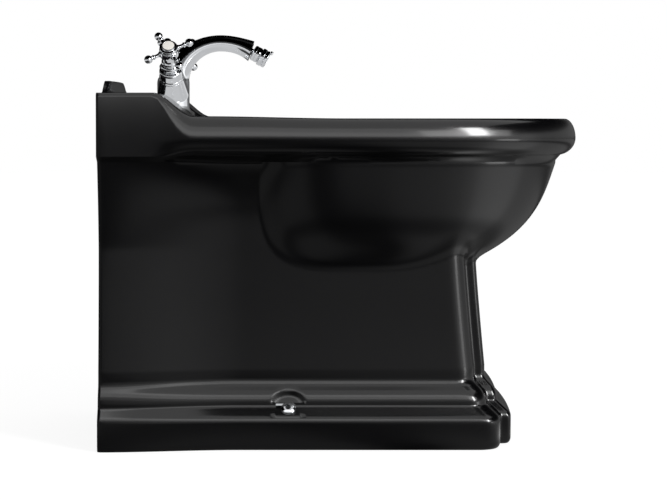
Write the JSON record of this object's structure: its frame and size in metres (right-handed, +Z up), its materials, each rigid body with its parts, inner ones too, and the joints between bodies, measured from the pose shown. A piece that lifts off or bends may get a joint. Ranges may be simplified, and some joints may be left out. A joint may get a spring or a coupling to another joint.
{
  "type": "floor standing bidet",
  "caption": "Back-to-wall floor standing bidet in black glazed ceramic with a cross handle mixer, swivelling nozzle and pop-up waste.",
  "frame": {"origin": "on the floor, below the middle of the part's box", "axes": "+X from the wall to the front of the rim, +Y to the left of one who looks out from the wall, +Z up"},
  "size_m": [0.59, 0.385, 0.5061],
  "materials": {
    "ceramic": "glossy black glaze",
    "chrome": "polished",
    "steel": "satin",
    "brass": "raw turned",
    "rubber": "matte",
    "porcelain": "glossy white glaze",
    "white_plastic": "satin"
  },
  "bodies": {
    "bidet": {"ceramic_body": "ceramic", "base_gasket": "rubber", "tap_body": "chrome", "spout": "chrome", "fixing_stud": "brass", "fixing_rubber": "rubber", "fixing_plate": "steel", "fixing_nut": "brass", "valve_hot": "brass", "valve_cold": "brass", "bonnet_hot": "chrome", "bonnet_cold": "chrome", "ball_nipple": "chrome", "lever_seat": "white_plastic", "lever_nut": "chrome", "waste_flange": "chrome", "flange_gasket": "rubber", "waste_body": "chrome", "under_gasket": "rubber", "lock_nut": "brass", "tail_pipe": "chrome", "floor_brackets": "white_plastic", "side_screws": "steel", "screw_sleeves": "white_plastic", "screw_covers": "chrome"},
    "hot_handle": {"handle_hot": "chrome", "spindle_hot": "brass", "handle_screw_hot": "steel", "index_disc_hot": "porcelain"},
    "cold_handle": {"handle_cold": "chrome", "spindle_cold": "brass", "handle_screw_cold": "steel", "index_disc_cold": "porcelain"},
    "nozzle_seat": {"ball_seat": "white_plastic"},
    "nozzle": {"nozzle_collar": "chrome", "nozzle_ring": "chrome", "nozzle_screen": "steel"},
    "lift": {"lift_knob": "chrome", "lift_rod": "chrome", "link_strap": "steel", "strap_screw": "brass"},
    "lever": {"lever_rod": "steel", "lever_clip": "steel"},
    "plug": {"plug": "chrome", "plug_seal": "rubber"}
  },
  "joints": [
    {"name": "hot_turn", "type": "hinge", "parent": "bidet", "child": "hot_handle", "pos_m": [-0.217, -0.06504, 0.48217], "axis": [0, -0.766, 0.6428], "range_deg": [0, 90]},
    {"name": "cold_turn", "type": "hinge", "parent": "bidet", "child": "cold_handle", "pos_m": [-0.217, 0.06504, 0.48217], "axis": [0, 0.766, 0.6428], "range_deg": [0, 90]},
    {"name": "nozzle_swing", "type": "hinge", "parent": "bidet", "child": "nozzle_seat", "pos_m": [-0.11072, 0, 0.48059], "axis": [0.4848, 0, 0.8746], "range_deg": [-15, 15]},
    {"name": "nozzle_tilt", "type": "hinge", "parent": "nozzle_seat", "child": "nozzle", "pos_m": [-0.11072, 0, 0.48059], "axis": [0, 1, 0], "range_deg": [-15, 15]},
    {"name": "lift_slide", "type": "slide", "parent": "bidet", "child": "lift", "axis": [0, 0, 1], "range_m": [0, 0.036]},
    {"name": "lever_tilt", "type": "hinge", "parent": "bidet", "child": "lever", "pos_m": [-0.004, 0, 0.184], "axis": [0, 1, 0], "range_deg": [0, 9.7]},
    {"name": "plug_slide", "type": "slide", "parent": "bidet", "child": "plug", "axis": [0, 0, 1], "range_m": [-0.00575, 0]}
  ],
  "couplings": [
    {"joint": "lever_tilt", "follows": "lift_slide", "rad_per_m": 4.6674},
    {"joint": "plug_slide", "follows": "lift_slide", "ratio": -0.15869}
  ]
}
